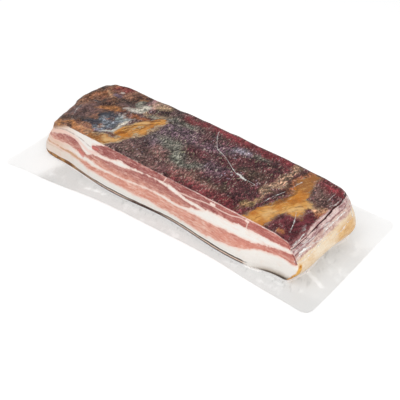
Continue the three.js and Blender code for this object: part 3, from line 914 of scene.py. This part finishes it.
# Golden fat over the top, with grain, cracks, a brown fringe and a pale rim, all weaker on the right
def goldOver(tone, noise, colour):
    paint = tinted(goldTones)
    right = tone.field("along").step(-20, 80)
    gold = (noise.mid * 0.6 + noise.swirl * 0.5 + noise.flow * 0.4).step(-0.9, 0.9)
    gold = gold.lay(paint.amber, paint.pale)
    for name, (soft, share, shade) in goldParts.items():
        gold = (tone.inside(name, noise.ragged * 0.7, -soft, soft) * share).lay(gold, tint(*shade))
    darkGrain = (noise.fine * 0.7 + noise.mid * 0.5 - noise.flow * 0.8).step(0.3, 1.5)
    gold = (darkGrain * (0.85 - right * 0.45)).lay(gold, paint.darkGrain)
    paleGrain = (noise.tiny * 0.6 + noise.flow).step(0.5, 1.3)
    gold = (paleGrain * (0.7 - right * 0.3)).lay(gold, paint.paleGrain)
    crack = noise.ridge * noise.mid.step(-0.6, 0.5)
    gold = (crack * (0.95 - right * 0.6)).lay(gold, paint.crack)

    depth = -tone.field("gold") - noise.ragged * 0.75
    fringe = depth.step(-5, -0.6) * (noise.mid + noise.swirl).step(-0.9, 0.5) * (0.8 - right * 0.3)
    browns = (noise.flow + noise.fine).step(-0.7, 0.9).lay(paint.darkFringe, paint.fringe)
    colour = fringe.lay(colour, browns)
    colour = depth.step(-2.0, 1.4).lay(colour, gold)
    rim = depth.band((-3.2, -2.0), (-1.4, -0.2)) * (noise.mid + noise.fine).step(-0.6, 0.4)
    colour = (rim * (0.7 - right * 0.55)).lay(colour, paint.rim)
    colour = (tone.inside("ash", noise.ragged * 0.6, -1.5, 1.5) * 0.8).lay(colour, paint.ash)
    vein = tone.inside("vein", noise.fine * 0.7 + noise.mid * 0.6, -1.3, 0.9)
    return (vein * 0.7).lay(colour, paint.vein)


# The walls up to the rounding of the top edge, which the top's colour comes down on the sides that were
# not cut, and a painted highlight: a pale line along the top edge of the cut face
def slabFinish():
    finish, tone = newFinish("curedPork")
    noise = SimpleNamespace(**{name: tone.noise(**made) for name, made in slabNoises.items()})
    noise.ridge = 1 - abs(noise.pleat).step(0.04, 0.24)
    noise.ragged = noise.swirl * 2.0 + noise.mid * 2.6 + noise.flow * 2.2
    noise.ragged = noise.ragged + noise.fine * 1.6 + noise.tiny * 0.8
    along, cut, topShare = tone.field("along"), tone.field("cut"), tone.field("top")
    lower = (0.4 - 0.45 * along.step(130, 150)) * (1 - cut)
    top = (topShare + noise.fine * 0.05 + lower).step(0.5, 0.65)
    colour = top.lay(wallColour(tone, noise), goldOver(tone, noise, topColour(tone, noise)))
    # painted highlight: a pale line along the top edge of the cut face, brighter towards the right
    edge = (topShare + noise.fine * 0.06).band((0.4, 0.5), (0.7, 0.8)) * cut.step(0.5, 0.8)
    highlightShare = (along + noise.mid * 10).step(5, 70) * 0.6 + (noise.mid + noise.fine).step(-0.4, 0.6) * 0.3
    colour = (edge * highlightShare * along.step(-100, -70)).lay(colour, tint(*cutTones["edge"]))
    height = noise.fine + noise.tiny * 0.5
    bump = tone.node("ShaderNodeBump", None, {"Strength": 0.3, "Distance": 0.4 * mm, "Height": height})
    inputs = {"Base Color": colour, "Roughness": 0.5, "Normal": bump, "Specular IOR Level": 0.1}
    setSurface(tone, tone.node("ShaderNodeBsdfPrincipled", None, inputs))
    return finish


def makeSlab():
    steps = slab["steps"]
    rings, facing, topRings, normals = slabRings(steps, slab["rounding"], slab["wall"], slab["foot"])
    top, bottom = spanned(rings[0], steps), spanned(rings[-1], steps)
    top[:, 2] = topHeight(top[:, 0], top[:, 1])
    points, quads = closedSurface(rings, top, bottom, steps)
    topShare = np.concatenate([topRings.ravel(), np.ones(len(top)), np.zeros(len(bottom))])
    cut = np.concatenate([np.tile(cutShare(normals), len(rings)), np.zeros(len(top) + len(bottom))])
    upward, still = np.tile([0.0, 0, 1], (len(top), 1)), np.zeros(bottom.shape)
    ways = np.concatenate([facing.reshape(-1, 3), upward, still])

    x, y, z = points.T
    fields = {
        "lean": leanField(x, z), "height": z, "cut": cut, "top": topShare, "along": x,
        "strip": stripField(x, y, z), "rindGap": lineHeight(layers["rindGap"], x),
    }
    for name in cutMarks:
        fields[name] = strokeField(points[:, ::2], layers[name])
    threads = [(0, [(along, 0, up) for along, up in path]) for path in layers["fatThreads"]]
    fields["thread"], fields["threadSide"] = lineField(points * (1, 0, 1), threads)
    stir = [lumps(points, stirring["lengths"], seed) for seed in stirring["seeds"]]
    stirred = points[:, :2] + stirring["height"] * np.stack(stir, axis=1)
    for i, mark in enumerate(topMarks):
        fields[f"mark{i}"] = strokeField(stirred, mark[-1])
    for name, strokes in goldMarks.items():
        fields[name] = strokeField(stirred, strokes)
    for name, strokes in endMarks.items():
        fields[name] = strokeField(points, strokes)

    points = points + ways * raised(points, topShare, 1 - cut)[:, None]
    piece = makePiece("pancettaSlab", points, quads, slabFinish(), fields)
    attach(piece, "root")
    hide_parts("pancetta_slab")
    print("slab:", len(points), "points,", 2 * len(quads), "triangles")


# The bag: a film that clings to the slab, runs out over its sealed margin and back under it
bag = {
    "corners": [(-174, -45), (194, -25), (183, 132), (-183, 130)], "round": 12,
    "pull": (13, 0, 6, -1),  # front, right, back, left
    "lift": (0.9, 2.4), "waves": 9, "sheet": 0.6,
    "gap": 0.35, "footRound": 2.2, "footOut": 0.55, "upperFilm": 0.5, "lowerFilm": 0.1,
    "steps": (240, 76), "rounding": 10, "wall": 34, "margin": 18,
}


# Outline of the margin: a rounded loop, each side pulled in by half a sine wave
def bagEdge(steps):
    corners = np.array(bag["corners"], float)
    loop = roundedLoop(corners, [bag["round"]] * 4, steps)
    inward = []
    for i, pull in enumerate(bag["pull"]):
        along = corners[(i + 1) % 4] - corners[i]
        along = along / np.linalg.norm(along)
        depth = pull * np.sin(np.pi * runShare(steps[i % 2]))
        inward.append(depth[:, None] * np.array([-along[1], along[0]]))
    return loop + np.concatenate(inward)


# Creases of the film, where its pale haze, partly painted highlight, is laid: half width, then places
# along, across and up
creases = [
    (0, [(-1, 91, 45), (4, 82, 46), (11, 74, 46), (17, 66, 46), (30, 61.5, 46), (50, 50, 46),
     (57, 46, 46)]), (1.5, [(59.5, 46, 46), (64, 44.8, 46)]), (1.1, [(65.5, 44.4, 46), (71, 43.6, 46)]),
    (0, [(73, 44, 46), (82, 43, 46)]), (0, [(135, 34, 45), (140, 26, 45), (145, 13, 43)]),
    (0, [(-143, 35, 43), (-137, 25, 44), (-129, 13, 45)]),
    (0, [(104, 30, 46), (107, 44, 46), (109, 52, 46)]), (0, [(110, 62, 46), (112, 74, 46)]),
    (0, [(151, 84, 44), (153, 64, 43), (154, 41, 41), (154, 18, 41), (155, 6, 38)]),
    (0.5, [(155, 6, 35), (154, 14, 38), (153, 22, 39)]),
    (0, [(155, 4, 35.4), (154, 13, 37.4), (154, 24, 37.6)]),
    (0, [(157, 5, 32), (157, 24, 32), (157, 34, 32)]),
    (0.8, [(159, 9, 29), (159, 18, 29), (160, 24, 28)]),
    (0.4, [(158, 24, 30), (160, 33, 27), (161, 43, 27)]),
    (0.6, [(158, 45, 30), (158, 60, 32), (157, 78, 33)]),
    (0.4, [(160, 1, 26), (160, 5, 28), (160, 11, 28)]),
    (0, [(155, 36, 34), (155, 56, 37), (154, 70, 40), (152, 83, 41)]),
    (0, [(145, 68, 45), (144, 79, 45)]), (0.7, [(151, 89, 41), (155, 89, 33), (161, 86, 26)]),
    (0, [(162, 2, 24), (163, 14, 23), (162, 26, 24), (162, 41, 25), (161, 55, 26)]),
    (0.3, [(163, 53, 21), (163, 67, 22), (161, 83, 25)]),
    (0.9, [(116, -6, 0), (124, -4.4, 0), (142, -4.8, 0), (154, -6.6, 0)]),
    (2.0, [(160, 22.8, 0), (170.7, 18.2, 0), (181.9, 14.2, 0)]),
    (1.2, [(167, 86.8, 0), (179.6, 71.2, 0)]), (0.8, [(157.5, 47.7, 0), (164.7, 41.5, 0)]),
    (0.8, [(160, 82.6, 0), (168.2, 80.1, 0)]), (1.6, [(-78, -19, 0), (-70, -15.5, 0), (-58, -14.5, 0)]),
]
# Film's colours: the margin's grey as a filter, and the pale haze of creases, partly painted highlight
filmTones = {"grey": (0.85, 0.848, 0.843, 1), "hazeAndHighlight": (252, 248, 244)}


# Clear film with a thin gloss, a pale haze along creases and streaks that is partly the film's whitening
# and partly painted highlight, and grey on its margin: greyer at the front and in painted shade mottled
# round the foot, clearer at the back and left, in patches and on glints
def filmFinish():
    finish, tone = newFinish("clearFilm")
    facing = tone.node("ShaderNodeLayerWeight", None, {"Blend": 0.5}, out="Facing")
    bare = tone.node("ShaderNodeBsdfTransparent", None, {"Color": (1, 1, 1, 1)})
    grey = tone.node("ShaderNodeBsdfTransparent", None, {"Color": filmTones["grey"]})
    shine = tone.node("ShaderNodeBsdfGlossy", None, {"Color": (1, 1, 1, 1), "Roughness": 0.12})
    hazeAndHighlight = tone.node("ShaderNodeBsdfDiffuse", None, {"Color": tint(*filmTones["hazeAndHighlight"])})
    along, across, margin = tone.field("along"), tone.field("across"), tone.field("margin")
    near, side, strip = tone.field("crease"), tone.field("creaseSide"), tone.field("strip")

    # pale haze on thin and wide creases and in streaks on the sides: partly whitening, partly painted
    # highlight
    thin = (1 - abs(side).step(0.0, 0.34)) * (1 - near.step(1.2, 2.0))
    wide = 1 - (near + tone.noise(3) * 1.1).step(-1.0, 0.8)
    glint = 1 - (near + tone.noise(5, seed=4.1) * 1.6).step(-2.6, 1.6)
    streakHighlights = tone.noise(1.8, stretch=(6, 6, 1), seed=3.3).step(0.1, 0.7) * tone.field("sides")
    streakHighlights = streakHighlights * strip.band((0.1, 0.5), (1.5, 1.8)) * (1 - strip.band((0.84, 0.92), (1.08, 1.16)))
    streakHighlights = streakHighlights * (along.step(130, 150) * 0.75 + 0.25)
    hazeAndHighlightShare = (thin * 0.7 + wide * 0.75) * (1 - margin) + streakHighlights * 0.48

    cloud = tone.noise(50, detail=1.0, seed=8.2)
    far = 1 - (1 - (along + cloud * 4).step(-121, -136)) * (1 - (across + cloud * 6).step(58, 92))
    front = (1 - across.step(-10, 2)) * (1 - far)
    frontLeft = front * along.step(-76, -92)
    # painted shade: darker grey mottles on the margin round the slab's foot
    paintedFootShade = tone.noise(5, stretch=(1, 3, 1), seed=7.1, turn=0.5).step(0.1, 1.0)
    paintedFootShade = paintedFootShade * (1 - tone.field("reach").step(0.05, 0.6))
    patches = tone.noise(14, stretch=(2, 1, 1), seed=6.6)
    patches = (patches + tone.noise(6, stretch=(1, 3, 1), seed=2.9, turn=0.4) * 0.6).step(0.2, 1.5)
    greyed = front * 0.12 + frontLeft * 0.1 + paintedFootShade * (0.55 - far * 0.45) + 0.63
    greyed = margin * greyed * (1 - far * 0.56) * (1 - glint * 0.7) * (1 - patches * 0.4)

    clear = tone.node("ShaderNodeMixShader", None, {0: greyed, 1: bare, 2: grey})
    glossy = tone.node("ShaderNodeMixShader", None, {0: facing**5 * 0.16 + 0.008, 1: clear, 2: shine})
    setSurface(tone, tone.node("ShaderNodeMixShader", None, {0: hazeAndHighlightShare, 1: glossy, 2: hazeAndHighlight}))
    return finish


def makeFilm():
    steps = bag["steps"]
    rings, facing, topShare, normals = slabRings(steps, bag["rounding"], bag["wall"], 0)
    around = rings.shape[1]
    uncut = 1 - cutShare(normals)
    clinging = rings + facing * (raised(rings, topShare, uncut) + bag["gap"])[..., None]

    # near the foot the film leaves the wall on a hollow quarter round
    away = np.maximum(0, 1 - clinging[..., 2] / bag["footRound"])
    hollow = bag["footRound"] * (1 - np.sqrt(np.maximum(0, 1 - away**2)))
    clinging[..., :2] += normals * hollow[..., None]

    # from there it runs out to the edge, which is lifted in waves
    inner = clinging[-1, :, :2] + normals * bag["footOut"]
    edge = bagEdge(steps)
    waves = 0.5 + 0.5 * np.sin(2 * np.pi * bag["waves"] * np.arange(around) / around)
    lift = mixed(*bag["lift"], waves)

    def marginRings(shares, height):
        flat = inner[None] + (edge - inner)[None] * shares[:, None, None]
        z = lift[None] * shares[:, None] ** 2 + height - bag["sheet"]
        return np.concatenate([flat, z[..., None]], axis=-1)

    outward = np.linspace(0, 1, bag["margin"] + 1)
    inward = outward[::-3]
    margins = [marginRings(outward, bag["upperFilm"]), marginRings(inward, bag["lowerFilm"])]
    allRings = np.concatenate([clinging, *margins])
    top, bottom = spanned(clinging[0], steps), spanned(allRings[-1], steps)
    top[:, 2] = topHeight(top[:, 0], top[:, 1])
    top[:, 2] += relief(top, 1.0) + bag["gap"]
    points, quads = closedSurface(allRings, top, bottom, steps)

    def onRings(clingingValues, marginShares):
        rest = np.zeros(len(top) + len(bottom))
        return np.concatenate([clingingValues.ravel(), np.repeat(marginShares, around), rest])

    bare = np.zeros(clinging.shape[:2])
    reach = np.concatenate([outward, inward])
    fields = {
        "along": points[:, 0], "across": points[:, 1], "strip": stripField(*points.T),
        "sides": onRings(uncut * (1 - topShare**4), np.zeros(len(reach))),
        "margin": onRings(bare, np.ones(len(reach))), "reach": onRings(bare, reach),
    }
    fields["crease"], fields["creaseSide"] = lineField(points, creases)
    piece = makePiece("vacuumBag", points, quads, filmFinish(), fields)
    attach(piece, "root")
    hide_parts("vacuum_bag")
    print("bag:", len(points), "points,", 2 * len(quads), "triangles")


# Metres: a pale floor that glows a little, and two softboxes given by place, size and power
studio = {
    "world": 0.55, "floorHalf": 3.0, "floorHeight": -0.0003, "floorColour": (0.93, 0.93, 0.93, 1),
    "floorGlow": 0.3,
    "lamps": [((-0.3, -0.7, 1.3), 1.2, 6.5), ((1.0, -0.5, 0.7), 0.8, 4.7)],
}
# The camera stands back from the slab's origin along one way, in degrees and metres, and is moved right
# and up; its focal length is in pixels of a picture 400 wide
camera = {
    "turn": 41.36, "rise": 36.25, "distance": 0.9049, "right": 0.04061, "up": 0.01085,
    "sensor": 36, "focalPixels": 953.1, "pictureWidth": 400,
}


# Matrix of something at a place that looks away from back, level along its own x
def facingMatrix(back, place):
    right = np.cross([0, 0, 1], back)
    right = right / np.linalg.norm(right)
    up = np.cross(back, right)
    matrix = np.eye(4)
    matrix[:3, :3] = np.stack([right, up, back], axis=1)
    matrix[:3, 3] = place
    return Matrix(matrix.tolist())


def makeStage():
    scene = bpy.context.scene
    scene.view_settings.view_transform = "Standard"
    world = bpy.data.worlds.new("studio")
    scene.world = world
    world.use_nodes = True
    world.node_tree.nodes["Background"].inputs["Color"].default_value = (1, 1, 1, 1)
    world.node_tree.nodes["Background"].inputs["Strength"].default_value = studio["world"]

    half, level = studio["floorHalf"], studio["floorHeight"]
    corners = [(-half, -half, level), (half, -half, level), (half, half, level), (-half, half, level)]
    mesh = bpy.data.meshes.new("floor")
    mesh.from_pydata(corners, [], [(0, 1, 2, 3)])
    finish, tone = newFinish("paleFloor")
    inputs = {
        "Base Color": studio["floorColour"], "Roughness": 0.9, "Specular IOR Level": 0.0,
        "Emission Color": (1, 1, 1, 1), "Emission Strength": studio["floorGlow"],
    }
    setSurface(tone, tone.node("ShaderNodeBsdfPrincipled", None, inputs))
    mesh.materials.append(finish)
    floor = bpy.data.objects.new("floor", mesh)
    scene.collection.objects.link(floor)

    for place, size, power in studio["lamps"]:
        lamp = bpy.data.lights.new("softbox", "AREA")
        lamp.size, lamp.energy = size, power
        holder = bpy.data.objects.new("softbox", lamp)
        holder.matrix_world = facingMatrix(np.array(place) / np.linalg.norm(place), place)
        scene.collection.objects.link(holder)

    turn, rise = np.radians(camera["turn"]), np.radians(camera["rise"])
    back = np.array([np.sin(turn) * np.cos(rise), -np.cos(turn) * np.cos(rise), np.sin(rise)])
    right = np.array([np.cos(turn), np.sin(turn), 0])
    up = np.cross(back, right)
    place = back * camera["distance"] + right * camera["right"] + up * camera["up"]
    view = bpy.data.cameras.new("photoView")
    view.sensor_width = camera["sensor"]
    view.lens = camera["sensor"] * camera["focalPixels"] / camera["pictureWidth"]
    holder = bpy.data.objects.new("photoView", view)
    holder.matrix_world = facingMatrix(back, place + slabOrigin * (mm, mm, 0))
    scene.collection.objects.link(holder)
    scene.camera = holder
    print("stage: floor,", len(studio["lamps"]), "lamps and camera")


makeStage()
makeSlab()
makeFilm()
